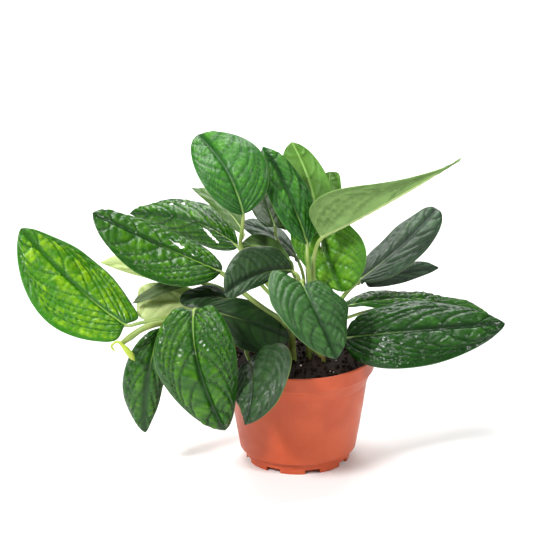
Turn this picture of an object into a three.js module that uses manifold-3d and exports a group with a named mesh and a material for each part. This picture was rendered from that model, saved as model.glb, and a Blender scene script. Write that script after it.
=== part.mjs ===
// Climbing monstera with quilted, uncut leaves in a 12 cm plastic nursery pot.
// Millimetres, +Z up, pot axis on Z, the surface that the pot stands on at z = 0.
// +X is to the right and +Y to the back when the plant is seen from its front.
import * as THREE from "three";
import { mergeVertices } from "three/addons/utils/BufferGeometryUtils.js";
import Module from "manifold-3d";

// ---- driving dimensions -------------------------------------------------------------
const POT_HEIGHT = 88;
const LIP_RADIUS = 60;
const LIP_BOTTOM = 76;
const BODY_TOP_RADIUS = 54.6;
const BODY_TOP = 66;
const RIDGE_RADIUS = 46;
const RIDGE_HEIGHT = 10;
const FOOT_RADIUS = 41;
const WALL = 1.4;
const FLOOR_UNDERSIDE = 3;
const PAD_RADIUS = 11;
const DRAIN_HOLES = 8;
const DRAIN_HOLE_RADIUS = 4;
const DRAIN_CIRCLE = 25;
const FOOT_NOTCHES = 8;
const FOOT_NOTCH_WIDTH = 12;
const FOOT_NOTCH_HEIGHT = 3.6;
const FIRST_NOTCH_DEG = -119;

const SOIL_TOP = 82;
const GAP = 0.4;

const BLADE_THICKNESS = 1.3;
const BLADE_ARCH = 0.06;
const BLADE_RINGS = 9;
const BLADE_TOP_POINTS = [-1, -2 / 3, -1 / 3, 0, 1 / 3, 2 / 3, 1];
const BLADE_UNDER_POINTS = [0.5, 0, -0.5];
const LOBE_PLACE = 0.035;

const TUBE_SIDES = 8;
const TUBE_STEP = 9;

// ---- colours ------------------------------------------------------------------------
const TERRACOTTA = 0xb9573a;
const PEAT = 0x1f130e;
const DEEP = 0x1f5a17;
const FRESH = 0x3f8a16;
const MID = 0x3a7a2a;
const DULL = 0x44603c;
const OLIVE = 0x4d6420;
const LIGHT = 0x7ba04c;
const PALE = 0xc6d29a;
const STALK = 0x7f9238;
const YOUNG = 0xb8cc2c;

const plant = new THREE.Group();

function material(colour, roughness) {
  return new THREE.MeshStandardMaterial({ color: colour, roughness, metalness: 0 });
}

function add(name, geometry, colour, roughness) {
  const mesh = new THREE.Mesh(geometry, material(colour, roughness));
  mesh.name = name;
  plant.add(mesh);
}

// ---- manifold-3d: three.js geometry in and out ----------------------------------------
const wasm = await Module();
wasm.setup();

function toSolid(geometry) {
  const bare = geometry.clone();
  bare.deleteAttribute("normal");
  bare.deleteAttribute("uv");
  const welded = mergeVertices(bare, 1e-4);
  return new wasm.Manifold(new wasm.Mesh({
    numProp: 3,
    vertProperties: new Float32Array(welded.attributes.position.array),
    triVerts: new Uint32Array(welded.index.array),
  }));
}

function toGeometry(solid) {
  const mesh = solid.getMesh();
  const geometry = new THREE.BufferGeometry();
  geometry.setAttribute("position", new THREE.BufferAttribute(mesh.vertProperties, 3));
  geometry.setIndex(new THREE.BufferAttribute(mesh.triVerts, 1));
  geometry.computeVertexNormals();
  return geometry;
}

// ---- pot: thin wall, rolled lip, foot ring with drain notches, raised pierced floor ------
function potShell() {
  const insideBody = BODY_TOP_RADIUS - WALL;
  const insideRidge = RIDGE_RADIUS - WALL;
  const floorTop = FLOOR_UNDERSIDE + WALL;
  const profile = [
    [0, 0],
    [PAD_RADIUS, 0],
    [PAD_RADIUS, FLOOR_UNDERSIDE],
    [FOOT_RADIUS - 2.6, FLOOR_UNDERSIDE],
    [FOOT_RADIUS - 2.2, 0],
    [FOOT_RADIUS - 0.4, 0],
    [FOOT_RADIUS, 0.5],
    [FOOT_RADIUS + 0.8, RIDGE_HEIGHT - 1],
    [RIDGE_RADIUS - 0.3, RIDGE_HEIGHT],
    [RIDGE_RADIUS, RIDGE_HEIGHT + 0.6],
    [BODY_TOP_RADIUS, BODY_TOP],
    [LIP_RADIUS - 1.4, LIP_BOTTOM - 0.6],
    [LIP_RADIUS - 0.6, LIP_BOTTOM],
    [LIP_RADIUS, LIP_BOTTOM + 0.8],
    [LIP_RADIUS, POT_HEIGHT - 0.8],
    [LIP_RADIUS - 0.5, POT_HEIGHT],
    [LIP_RADIUS - 1.4, POT_HEIGHT],
    [LIP_RADIUS - 1.9, POT_HEIGHT - 0.8],
    [LIP_RADIUS - 2.2, LIP_BOTTOM + 0.4],
    [insideBody, BODY_TOP + 0.6],
    [insideRidge, RIDGE_HEIGHT + 1.2],
    [FOOT_RADIUS - WALL, RIDGE_HEIGHT - 0.4],
    [FOOT_RADIUS - WALL - 0.6, floorTop],
    [0, floorTop],
  ];
  const points = profile.map(([r, z]) => new THREE.Vector2(r, z));
  return new THREE.LatheGeometry(points, 48).rotateX(Math.PI / 2);
}

function notchCutter(index) {
  const angle = THREE.MathUtils.degToRad(FIRST_NOTCH_DEG + index * 360 / FOOT_NOTCHES);
  const length = 8;
  const height = 2 * FOOT_NOTCH_HEIGHT;
  const box = new THREE.BoxGeometry(length, FOOT_NOTCH_WIDTH, height);
  box.translate(FOOT_RADIUS, 0, 0);
  return toSolid(box.rotateZ(angle));
}

function drainCutter(index) {
  const angle = (index + 0.5) * 2 * Math.PI / DRAIN_HOLES;
  const hole = new THREE.CylinderGeometry(DRAIN_HOLE_RADIUS, DRAIN_HOLE_RADIUS, 6, 16);
  hole.rotateX(Math.PI / 2);
  hole.translate(DRAIN_CIRCLE * Math.cos(angle), DRAIN_CIRCLE * Math.sin(angle), FLOOR_UNDERSIDE);
  return toSolid(hole);
}

function pot() {
  let solid = toSolid(potShell());
  for (let i = 0; i < FOOT_NOTCHES; i += 1) {
    solid = solid.subtract(notchCutter(i));
  }
  for (let i = 0; i < DRAIN_HOLES; i += 1) {
    solid = solid.subtract(drainCutter(i));
  }
  return toGeometry(solid);
}

// ---- potting soil: fills the pot to just under the lip ------------------------------------
function pottingSoil() {
  const floorTop = FLOOR_UNDERSIDE + WALL;
  const profile = [
    [0, floorTop + GAP],
    [FOOT_RADIUS - WALL - 1.2, floorTop + GAP],
    [FOOT_RADIUS - WALL - 0.6, RIDGE_HEIGHT],
    [RIDGE_RADIUS - WALL - 0.6, RIDGE_HEIGHT + 2],
    [BODY_TOP_RADIUS - WALL - 0.6, BODY_TOP],
    [LIP_RADIUS - 3.2, LIP_BOTTOM],
    [LIP_RADIUS - 3, SOIL_TOP - 2],
    [LIP_RADIUS - 14, SOIL_TOP - 0.6],
    [0, SOIL_TOP],
  ];
  const points = profile.map(([r, z]) => new THREE.Vector2(r, z));
  return new THREE.LatheGeometry(points, 32).rotateX(Math.PI / 2);
}

// ---- stems and stalks: round tubes along a smooth curve ------------------------------------
function tube(radius, places) {
  const path = new THREE.CatmullRomCurve3(places.map((p) => new THREE.Vector3(...p)));
  const section = new THREE.Shape();
  for (let i = 0; i < TUBE_SIDES; i += 1) {
    const angle = i * 2 * Math.PI / TUBE_SIDES;
    const x = radius * Math.cos(angle);
    const y = radius * Math.sin(angle);
    if (i === 0) section.moveTo(x, y);
    else section.lineTo(x, y);
  }
  const steps = Math.max(2, Math.round(path.getLength() / TUBE_STEP));
  return new THREE.ExtrudeGeometry(section, { steps, bevelEnabled: false, extrudePath: path });
}

function addStem(name, radius, places) {
  add(name, tube(radius, places), STALK, 0.5);
}

// ---- a closed skin over rings of points, with a pole at each end ----------------------------
function skin(startPole, rings, endPole) {
  const sides = rings[0].length;
  const points = [startPole, ...rings.flat(), endPole];
  const last = points.length - 1;
  const at = (ring, k) => 1 + ring * sides + (k % sides);
  const faces = [];
  for (let k = 0; k < sides; k += 1) {
    faces.push(0, at(0, k + 1), at(0, k));
    for (let r = 0; r < rings.length - 1; r += 1) {
      faces.push(at(r, k), at(r, k + 1), at(r + 1, k + 1));
      faces.push(at(r, k), at(r + 1, k + 1), at(r + 1, k));
    }
    faces.push(last, at(rings.length - 1, k), at(rings.length - 1, k + 1));
  }
  const geometry = new THREE.BufferGeometry().setFromPoints(points);
  geometry.setIndex(faces);
  geometry.computeVertexNormals();
  return geometry;
}

// ---- leaf blade: laid out by its joint, mid-rib, tip and its two edges where it is widest -----
// round and point shape the outline towards the joint and the tip; a lobe reaches back
// past the joint on the left and the right of the stalk.
function blade({ joint, middle, tip, left, right, round, point, lobes = [0, 0] }) {
  const [start, mid, end] = [joint, middle, tip].map((p) => new THREE.Vector3(...p));
  const control = mid.clone().multiplyScalar(2).addScaledVector(start, -0.5).addScaledVector(end, -0.5);
  const midrib = new THREE.QuadraticBezierCurve3(start, control, end);
  const widest = round / (round + point);
  const shape = (u) => u ** round * (1 - u) ** point;
  const spanDirection = midrib.getTangent(widest);
  const middleOfSpan = midrib.getPoint(widest);
  const toLeft = new THREE.Vector3(...left).sub(middleOfSpan);
  const toRight = new THREE.Vector3(...right).sub(middleOfSpan);

  function ringAt(u) {
    const along = midrib.getTangent(u);
    const centre = midrib.getPoint(u);
    const turn = new THREE.Quaternion().setFromUnitVectors(spanDirection, along);
    const scale = shape(u) / shape(widest);
    const halves = [toLeft, toRight].map((side) => side.clone().applyQuaternion(turn));
    const up = halves[1].clone().sub(halves[0]).cross(along).normalize();
    const back = (u / LOBE_PLACE) * Math.exp(1 - u / LOBE_PLACE);
    function place(v, drop) {
      const half = v < 0 ? 0 : 1;
      const across = Math.abs(v);
      const arch = BLADE_ARCH * halves[half].length() * scale * 4 * across * (1 - across);
      return centre.clone()
        .addScaledVector(halves[half], across * scale)
        .addScaledVector(along, -across * lobes[half] * back)
        .addScaledVector(up, arch - drop);
    }
    return [
      ...BLADE_TOP_POINTS.map((v) => place(v, 0)),
      ...BLADE_UNDER_POINTS.map((v) => place(v, BLADE_THICKNESS)),
    ];
  }

  const rings = [];
  for (let i = 1; i <= BLADE_RINGS; i += 1) {
    rings.push(ringAt((1 - Math.cos(Math.PI * i / (BLADE_RINGS + 1))) / 2));
  }
  return skin(start, rings, end);
}

function addLeaf(name, colour, layout) {
  add(name, blade(layout), colour, 0.4);
}

// ---- young leaf still rolled, hooked at its end ----------------------------------------------
function rolledShoot(places, radii) {
  const path = new THREE.CatmullRomCurve3(places.map((p) => new THREE.Vector3(...p)));
  const count = 12;
  const frames = path.computeFrenetFrames(count, false);
  const rings = [];
  for (let i = 1; i < count; i += 1) {
    const u = i / count;
    const centre = path.getPointAt(u);
    const place = u * (radii.length - 1);
    const low = Math.floor(place);
    const radius = THREE.MathUtils.lerp(radii[low], radii[low + 1], place - low);
    const ring = [];
    for (let k = 0; k < TUBE_SIDES; k += 1) {
      const angle = k * 2 * Math.PI / TUBE_SIDES;
      ring.push(centre.clone()
        .addScaledVector(frames.normals[i], radius * Math.cos(angle))
        .addScaledVector(frames.binormals[i], radius * Math.sin(angle)));
    }
    rings.push(ring);
  }
  return skin(path.getPoint(0), rings, path.getPoint(1));
}

add("pot", pot(), TERRACOTTA, 0.45);
add("potting_soil", pottingSoil(), PEAT, 0.95);

addStem("stem_centre", 2.6, [[-4, -1, 83], [-5, -4, 99], [-6, -6, 109], [-3, -3, 126], [1, 2, 139]]);
addStem("stem_right", 2.4, [[9, 4, 83], [8, 5, 104], [10, 6, 129], [10, 6, 141]]);
addStem("stem_right_low", 2.4, [[18, 8, 83], [19, 4, 100], [23, 2, 110], [26, 2, 119]]);
addStem("stem_left_vine", 2.4, [
  [-17, -10, 83], [-19, -10, 92], [-36, -8, 109], [-57, -14, 119],
  [-81, -22, 124], [-104, -36, 126], [-119, -42, 124], [-137, -42, 111],
]);
addStem("root_aerial", 1.8, [[1, -5, 104], [9, -2, 94], [20, -3, 84]]);

addStem("petiole_far_left", 1.6, [[-132, -22, 118], [-120, -24, 122], [-104, -24, 125], [-88, -19, 127]]);
addStem("petiole_front_left", 1.8, [[-80, -45, 139], [-77, -34, 135], [-72, -27, 131], [-68, -23, 127]]);
addStem("petiole_shaded", 1.6, [[-47, -8, 131], [-43, -7, 122], [-40, -5, 115]]);
addStem("petiole_upper_left", 2.2, [
  [-58, -7, 157], [-52, -10, 151], [-46, -16, 146], [-29, -22, 134], [-17, -18, 124], [-8, -12, 114],
]);
addStem("petiole_upper_left_rear", 1.7, [
  [-46, 16, 167], [-41, 14, 158], [-32, 8, 145], [-18, 4, 130], [-8, 3, 117],
]);
addStem("petiole_top", 1.7, [
  [-43, -1, 200], [-44, 2, 189], [-45, 7, 173], [-36, 4, 158], [-24, 0, 144], [-8, 2, 125],
]);
addStem("petiole_centre_heart", 1.8, [[2, -28, 156], [3, -16, 153], [1, -6, 146]]);
addStem("petiole_centre_left", 1.7, [[-4, -3, 157], [-1, -1, 153], [0, 1, 145]]);
addStem("petiole_behind_top", 1.5, [[-18, 22, 181], [-16, 41, 166], [-8, 36, 152], [-1, 13, 142]]);
addStem("petiole_grey_rear", 1.5, [[2, 33, 149], [4, 27, 142], [5, 18, 134], [6, 13, 125]]);
addStem("petiole_centre_rear", 1.7, [[16, 38, 173], [16, 37, 160], [16, 29, 145], [12, 13, 131]]);
addStem("petiole_rear_blunt", 1.5, [[20, 53, 167], [19, 44, 150], [16, 28, 132], [12, 13, 118]]);
addStem("petiole_right_long", 1.9, [[13, 4, 175], [12, 6, 161], [11, 8, 146]]);
addStem("petiole_centre_folded", 1.7, [[7, 8, 173], [7, 3, 165], [9, 2, 148]]);
addStem("petiole_centre_right", 1.5, [[13, 37, 191], [9, 36, 172], [7, 27, 150], [9, 11, 128]]);
addStem("petiole_right_upper", 1.9, [[46, 27, 137], [35, 20, 126], [30, 12, 120]]);
addStem("petiole_right_low", 1.9, [[35, -15, 106], [30, -8, 107], [26, -3, 110]]);
addStem("petiole_right_rear", 1.6, [[36, 10, 122], [31, 6, 120], [28, 6, 116]]);
addStem("petiole_right_rear_low", 1.5, [[74, 47, 109], [54, 34, 109], [37, 16, 110], [29, 8, 110]]);
addStem("petiole_low_centre", 1.6, [[-39, -41, 97], [-41, -36, 102], [-35, -26, 101], [-24, -17, 95]]);
addStem("petiole_pale_upper", 1.5, [[-72, 24, 138], [-58, 18, 133], [-38, 4, 122], [-18, 2, 112]]);
addStem("petiole_pale_lower", 1.6, [[-71, 12, 126], [-55, 4, 120], [-47, -4, 117]]);
addStem("petiole_edge_on", 1.4, [[-74, 9, 142], [-60, 8, 132], [-46, 1, 124], [-36, -1, 116]]);

addLeaf("leaf_far_left", FRESH, {
  joint: [-135, -22, 119], middle: [-175, -5, 146], tip: [-217, 8, 188],
  left: [-196, -33, 126], right: [-155, 18, 153], round: 0.45, point: 0.8, lobes: [10, 11],
});
addLeaf("leaf_upper_left", DEEP, {
  joint: [-60, -8, 158], middle: [-112, 0, 179], tip: [-160, -5, 205],
  left: [-117, -27, 159], right: [-101, 24, 182], round: 0.55, point: 0.65,
});
addLeaf("leaf_upper_left_rear", DEEP, {
  joint: [-47, 16, 170], middle: [-86, 46, 182], tip: [-135, 75, 178],
  left: [-81, 42, 164], right: [-84, 76, 189], round: 0.6, point: 0.85,
});
addLeaf("leaf_top", MID, {
  joint: [-43, -2, 203], middle: [-56, 8, 235], tip: [-79, 46, 253],
  left: [-76, -2, 230], right: [-27, 14, 245], round: 0.7, point: 0.62,
});
addLeaf("leaf_top_side", LIGHT, {
  joint: [-43, 12, 183], middle: [-60, 34, 198], tip: [-85, 62, 204],
  left: [-60, 26, 191], right: [-55, 44, 200], round: 0.6, point: 0.8,
});
addLeaf("leaf_centre_folded", DEEP, {
  joint: [7, 8, 176], middle: [-9, 18, 216], tip: [-28, 34, 247],
  left: [-21, 8, 208], right: [8, 26, 214], round: 0.7, point: 0.55,
});
addLeaf("leaf_centre_rear", LIGHT, {
  joint: [16, 38, 175], middle: [10, 62, 206], tip: [-5, 85, 235],
  left: [26, 66, 204], right: [-9, 72, 199], round: 0.6, point: 0.5,
});
addLeaf("leaf_rear_blunt", LIGHT, {
  joint: [21, 54, 169], middle: [25, 75, 189], tip: [26, 95, 207],
  left: [35, 76, 197], right: [14, 84, 193], round: 0.5, point: 0.25,
});
addLeaf("leaf_right_long", LIGHT, {
  joint: [17, 4, 182], middle: [68, 2, 211], tip: [126, 10, 245],
  left: [35, 30, 204], right: [19, -8, 221], round: 0.35, point: 1.8, lobes: [0, 2],
});
addLeaf("leaf_centre_right", MID, {
  joint: [14, 34, 192], middle: [22, 24, 165], tip: [35, 14, 133],
  left: [52, 16, 172], right: [-5, 30, 168], round: 0.5, point: 0.65, lobes: [3, 3],
});
addLeaf("leaf_right_upper", DULL, {
  joint: [48, 28, 138], middle: [82, 56, 157], tip: [112, 85, 179],
  left: [72, 68, 162], right: [96, 46, 150], round: 0.42, point: 0.5,
});
addLeaf("leaf_right_under", DULL, {
  joint: [50, 36, 134], middle: [82, 62, 132], tip: [115, 88, 127],
  left: [84, 74, 137], right: [76, 52, 125], round: 0.6, point: 0.8,
});
addLeaf("leaf_right_low", DEEP, {
  joint: [36, -16, 106], middle: [99, -22, 115], tip: [162, -12, 116],
  left: [84, 4, 129], right: [85, -44, 91], round: 0.5, point: 0.75,
});
addLeaf("leaf_right_rear", DULL, {
  joint: [37, 10, 123], middle: [76, 34, 120], tip: [112, 45, 115],
  left: [74, 58, 118], right: [76, 22, 119], round: 0.5, point: 0.6,
});
addLeaf("leaf_right_rear_low", DULL, {
  joint: [76, 48, 109], middle: [115, 64, 105], tip: [155, 70, 92],
  left: [122, 84, 104], right: [119, 40, 103], round: 0.6, point: 0.7,
});
addLeaf("leaf_centre_heart", MID, {
  joint: [3, -32, 156], middle: [14, -54, 138], tip: [29, -62, 106],
  left: [37, -36, 141], right: [-21, -60, 150], round: 0.36, point: 0.7, lobes: [9, 16],
});
addLeaf("leaf_centre_left", DULL, {
  joint: [-5, 0, 156], middle: [-33, -28, 162], tip: [-57, -55, 156],
  left: [-33, -42, 157], right: [-36, -8, 179], round: 0.55, point: 0.5,
});
addLeaf("leaf_centre_left_rear", OLIVE, {
  joint: [-6, 14, 158], middle: [-26, 30, 164], tip: [-45, 44, 160],
  left: [-29, 44, 171], right: [-29, 18, 157], round: 0.6, point: 0.6,
});
addLeaf("leaf_front_left", DEEP, {
  joint: [-81, -50, 141], middle: [-77, -72, 104], tip: [-57, -66, 48],
  left: [-49, -70, 119], right: [-111, -62, 102], round: 0.42, point: 0.66, lobes: [8, 8],
});
addLeaf("leaf_low_left", DEEP, {
  joint: [-107, -30, 120], middle: [-117, -38, 81], tip: [-120, -34, 33],
  left: [-103, -34, 84], right: [-137, -30, 80], round: 0.55, point: 0.75,
});
addLeaf("leaf_under_centre", DULL, {
  joint: [-7, -14, 105], middle: [-36, -26, 122], tip: [-72, -34, 136],
  left: [-41, -44, 106], right: [-35, -12, 134], round: 0.5, point: 0.6,
});
addLeaf("leaf_low_centre", DULL, {
  joint: [-39, -42, 97], middle: [-36, -72, 85], tip: [-42, -84, 60],
  left: [-6, -70, 110], right: [-54, -54, 73], round: 0.36, point: 0.95, lobes: [4, 5],
});
addLeaf("leaf_shaded", DULL, {
  joint: [-49, -8, 132], middle: [-71, -8, 138], tip: [-92, -14, 134],
  left: [-71, -20, 132], right: [-73, 2, 143], round: 0.5, point: 0.6,
});
addLeaf("leaf_pale_upper", PALE, {
  joint: [-74, 26, 137], middle: [-117, 30, 147], tip: [-157, 30, 152],
  left: [-111, 26, 138], right: [-111, 46, 152], round: 0.6, point: 0.9,
});
addLeaf("leaf_pale_lower", PALE, {
  joint: [-73, 8, 128], middle: [-102, 2, 130], tip: [-127, 0, 131],
  left: [-110, -8, 116], right: [-109, 6, 144], round: 0.45, point: 0.25,
});
addLeaf("leaf_edge_on", DULL, {
  joint: [-76, 8, 143], middle: [-102, -4, 145], tip: [-130, -10, 132],
  left: [-104, -8, 140], right: [-104, 0, 148], round: 0.6, point: 0.8,
});
addLeaf("leaf_behind_top", OLIVE, {
  joint: [-18, 24, 184], middle: [-25, 48, 196], tip: [-32, 72, 209],
  left: [-37, 40, 194], right: [-7, 54, 184], round: 0.35, point: 0.7, lobes: [3, 3],
});
addLeaf("leaf_grey_rear", DULL, {
  joint: [1, 34, 151], middle: [-17, 62, 162], tip: [-43, 84, 166],
  left: [-29, 62, 160], right: [-25, 86, 167], round: 0.6, point: 0.6,
});

add("new_shoot", rolledShoot(
  [[-142, -44, 105], [-145, -44, 109], [-143, -45, 112], [-140, -46, 114], [-136, -47, 111],
    [-131, -48, 105], [-127, -48, 99]],
  [0.8, 0.9, 1, 1.3, 2.4, 2.6, 1.4],
), YOUNG, 0.4);

export default plant;
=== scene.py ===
"""A young climbing monstera in a terracotta-coloured nursery pot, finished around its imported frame."""

import math

import bmesh
import bpy
import numpy as np
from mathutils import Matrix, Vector


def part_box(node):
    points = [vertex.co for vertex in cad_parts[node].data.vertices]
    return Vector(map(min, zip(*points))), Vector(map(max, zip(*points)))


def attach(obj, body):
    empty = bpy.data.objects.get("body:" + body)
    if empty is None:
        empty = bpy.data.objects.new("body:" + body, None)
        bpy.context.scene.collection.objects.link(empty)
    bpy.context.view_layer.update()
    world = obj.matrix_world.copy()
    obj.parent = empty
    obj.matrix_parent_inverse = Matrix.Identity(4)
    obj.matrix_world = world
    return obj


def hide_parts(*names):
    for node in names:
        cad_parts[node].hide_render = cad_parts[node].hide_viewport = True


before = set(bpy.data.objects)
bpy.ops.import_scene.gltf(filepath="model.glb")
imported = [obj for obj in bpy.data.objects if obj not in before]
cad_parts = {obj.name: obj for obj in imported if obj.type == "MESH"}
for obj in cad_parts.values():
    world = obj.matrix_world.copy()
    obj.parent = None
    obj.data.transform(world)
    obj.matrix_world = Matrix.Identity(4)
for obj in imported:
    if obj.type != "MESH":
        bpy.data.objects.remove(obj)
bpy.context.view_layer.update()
bpy.ops.object.select_all(action="DESELECT")

# ---- Pot -----------------------------------------------------------------------------------------
# A thin moulded pot of terracotta-coloured polypropylene. Its turned wall has a deep plain lip, a
# small step above the foot, notches round the foot ring and drain holes in a raised floor.
MM = 0.001
pot_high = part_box("pot")[1]
LIP_RADIUS = pot_high.x / MM
POT_HEIGHT = pot_high.z / MM
FOOT_RADIUS = 41
FLOOR_UNDERSIDE = 3
POT_SECTION = [
    (0, 0), (11, 0), (11, FLOOR_UNDERSIDE), (FOOT_RADIUS - 2.6, FLOOR_UNDERSIDE), (FOOT_RADIUS - 2.2, 0),
    (FOOT_RADIUS - 0.4, 0), (FOOT_RADIUS, 0.5), (FOOT_RADIUS + 0.8, 9), (45.7, 10), (46, 10.6),
    (49, 28), (52, 47), (54.6, 66), (56.8, 71.5), (LIP_RADIUS - 1.4, 75.4), (LIP_RADIUS - 0.5, 76),
    (LIP_RADIUS, 76.8), (LIP_RADIUS, POT_HEIGHT - 0.8), (LIP_RADIUS - 0.5, POT_HEIGHT),
    (LIP_RADIUS - 1.4, POT_HEIGHT),
    (LIP_RADIUS - 1.9, POT_HEIGHT - 0.8), (LIP_RADIUS - 2.2, 76.4), (53.2, 66.6), (44.6, 11.2),
    (FOOT_RADIUS - 1.4, 9.6), (FOOT_RADIUS - 2, 4.4), (0, 4.4),
]
NOTCHES = 8
FIRST_NOTCH_DEG = -119
NOTCH_DEPTH, NOTCH_WIDTH, NOTCH_HEIGHT = 8, 12, 3.6
DRAIN_HOLES = 8
DRAIN_CIRCLE, DRAIN_RADIUS, DRAIN_DEPTH = 25, 4, 6


def draw_section(name, section):
    """A chain of edges in the XZ plane, extruded point by point from one corner."""
    bpy.ops.mesh.primitive_plane_add(size=MM, location=(0, 0, 0))
    chain = bpy.context.object
    chain.name = name
    bpy.ops.object.mode_set(mode="EDIT")
    bpy.ops.mesh.merge(type="CENTER")
    place = Vector((0, 0, 0))
    for radius, height in section:
        goal = Vector((radius, 0, height)) * MM
        if goal != place:
            bpy.ops.mesh.extrude_region_move(TRANSFORM_OT_translate={"value": goal - place})
        place = goal
    return chain


def spin_section(steps):
    """The chain in edit mode turned once round the pot's axis, closed and facing out."""
    bpy.ops.mesh.select_all(action="SELECT")
    bpy.ops.mesh.spin(steps=steps, angle=2 * math.pi, center=(0, 0, 0), axis=(0, 0, 1))
    bpy.ops.mesh.select_all(action="SELECT")
    bpy.ops.mesh.remove_doubles(threshold=0.01 * MM)
    bpy.ops.mesh.normals_make_consistent(inside=False)
    bpy.ops.object.mode_set(mode="OBJECT")


def cut_away(piece, cutters):
    """Takes the cutters out of the piece and removes them."""
    bpy.ops.object.select_all(action="DESELECT")
    for cutter in cutters:
        cutter.select_set(True)
    bpy.context.view_layer.objects.active = cutters[0]
    bpy.ops.object.join()
    cut = piece.modifiers.new("cut", "BOOLEAN")
    cut.object = cutters[0]
    cut.solver = "EXACT"
    bpy.context.view_layer.objects.active = piece
    bpy.ops.object.modifier_apply(modifier=cut.name)
    bpy.data.objects.remove(cutters[0])


pot = draw_section("nursery_pot", POT_SECTION)
spin_section(128)
cutters = []
for number in range(NOTCHES):
    turn = math.radians(FIRST_NOTCH_DEG + number * 360 / NOTCHES)
    bpy.ops.mesh.primitive_cube_add(
        size=1, location=(FOOT_RADIUS * MM * math.cos(turn), FOOT_RADIUS * MM * math.sin(turn), 0),
        rotation=(0, 0, turn), scale=(NOTCH_DEPTH * MM, NOTCH_WIDTH * MM, 2 * NOTCH_HEIGHT * MM))
    cutters.append(bpy.context.object)
for number in range(DRAIN_HOLES):
    turn = (number + 0.5) * 2 * math.pi / DRAIN_HOLES
    centre = Vector((DRAIN_CIRCLE * math.cos(turn), DRAIN_CIRCLE * math.sin(turn), FLOOR_UNDERSIDE))
    bpy.ops.mesh.primitive_cylinder_add(
        vertices=24, radius=DRAIN_RADIUS * MM, depth=DRAIN_DEPTH * MM, location=centre * MM)
    cutters.append(bpy.context.object)
cut_away(pot, cutters)
rounding = pot.modifiers.new("rounded edges", "BEVEL")
rounding.width = 0.3 * MM
rounding.segments = 2
rounding.limit_method = "ANGLE"
rounding.angle_limit = math.radians(35)
bpy.ops.object.modifier_apply(modifier=rounding.name)
bpy.ops.object.shade_smooth_by_angle(angle=math.radians(30))


def new_material(name):
    """An empty node material with its output and Principled shader."""
    material = bpy.data.materials.new(name)
    material.use_nodes = True
    return material, material.node_tree, material.node_tree.nodes["Principled BSDF"]


def node(tree, kind, values=(), **settings):
    """A node of that kind, with its settings and its input values by name or number."""
    made = tree.nodes.new(kind)
    for setting, value in settings.items():
        setattr(made, setting, value)
    for socket, value in dict(values).items():
        if isinstance(value, bpy.types.NodeSocket):
            tree.links.new(value, made.inputs[socket])
        else:
            made.inputs[socket].default_value = value
    return made


def colour_mix(tree, share, first, second, blend="MIX"):
    """The output of a colour mix. The colours and the share are values or sockets."""
    mix = node(tree, "ShaderNodeMix", {0: share, 6: first, 7: second}, data_type="RGBA", blend_type=blend)
    return mix.outputs[2]


def sum_of(tree, operation, first, second, third=0.0):
    """The output of one Math node."""
    return node(tree, "ShaderNodeMath", {0: first, 1: second, 2: third}, operation=operation).outputs[0]


def stretch(tree, value, low, high, to_low=0.0, to_high=1.0):
    """A value from low to high spread smoothly over to_low to to_high."""
    spread = node(tree, "ShaderNodeMapRange", {0: value, 1: low, 2: high, 3: to_low, 4: to_high},
                  interpolation_type="SMOOTHSTEP")
    return spread.outputs[0]


def noise(tree, where, scale, detail=4.0, roughness=0.6):
    """A noise value over a place."""
    made = node(tree, "ShaderNodeTexNoise", {"Vector": where, "Scale": scale, "Detail": detail,
                                             "Roughness": roughness})
    return made.outputs["Fac"]


def plastic_finish():
    """Satin terracotta polypropylene: cloudy dye, a fine grain, scuffs and a faint seam line."""
    material, tree, skin = new_material("terracotta polypropylene")
    where = tree.nodes.new("ShaderNodeTexCoord").outputs["Object"]
    height = node(tree, "ShaderNodeSeparateXYZ", {0: where}).outputs["Z"]
    cloudy = stretch(tree, noise(tree, where, 18), 0.35, 0.7)
    body = colour_mix(tree, cloudy, (0.45, 0.066, 0.018, 1), (0.56, 0.098, 0.032, 1))
    streaked = node(tree, "ShaderNodeMapping", {0: where, 3: (300, 300, 12)})
    scuff = stretch(tree, noise(tree, streaked.outputs[0], 1.0, 6, 0.7), 0.62, 0.8)
    worn = colour_mix(tree, sum_of(tree, "MULTIPLY", scuff, 0.22), body, (0.74, 0.30, 0.18, 1))
    tree.links.new(worn, skin.inputs["Base Color"])
    grain = noise(tree, where, 1400, 3)
    off_seam = sum_of(tree, "ABSOLUTE", sum_of(tree, "SUBTRACT", height, 45.5 * MM), 0)
    seam = stretch(tree, off_seam, 0.0, 0.35 * MM)
    bump_height = sum_of(tree, "ADD", sum_of(tree, "MULTIPLY", grain, 0.35), seam)
    bump = node(tree, "ShaderNodeBump", {"Strength": 0.35, "Distance": 0.12 * MM, "Height": bump_height})
    tree.links.new(bump.outputs[0], skin.inputs["Normal"])
    gloss = stretch(tree, noise(tree, where, 60), 0.3, 0.7, 0.36, 0.5)
    tree.links.new(gloss, skin.inputs["Roughness"])
    skin.inputs["Specular IOR Level"].default_value = 0.35
    skin.inputs["Subsurface Weight"].default_value = 0.06
    skin.inputs["Subsurface Radius"].default_value = (3 * MM, 1 * MM, 0.5 * MM)
    skin.inputs["Subsurface Scale"].default_value = 1.0
    return material


def fit(piece, material, slot, *nodes):
    """Gives the piece its one material, rides it and hides the CAD nodes it stands for."""
    piece.data.materials.clear()
    piece.data.materials.append(material)
    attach(piece, "root")
    if nodes:
        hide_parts(*nodes)


fit(pot, plastic_finish(), "pot_plastic", "pot")

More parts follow.
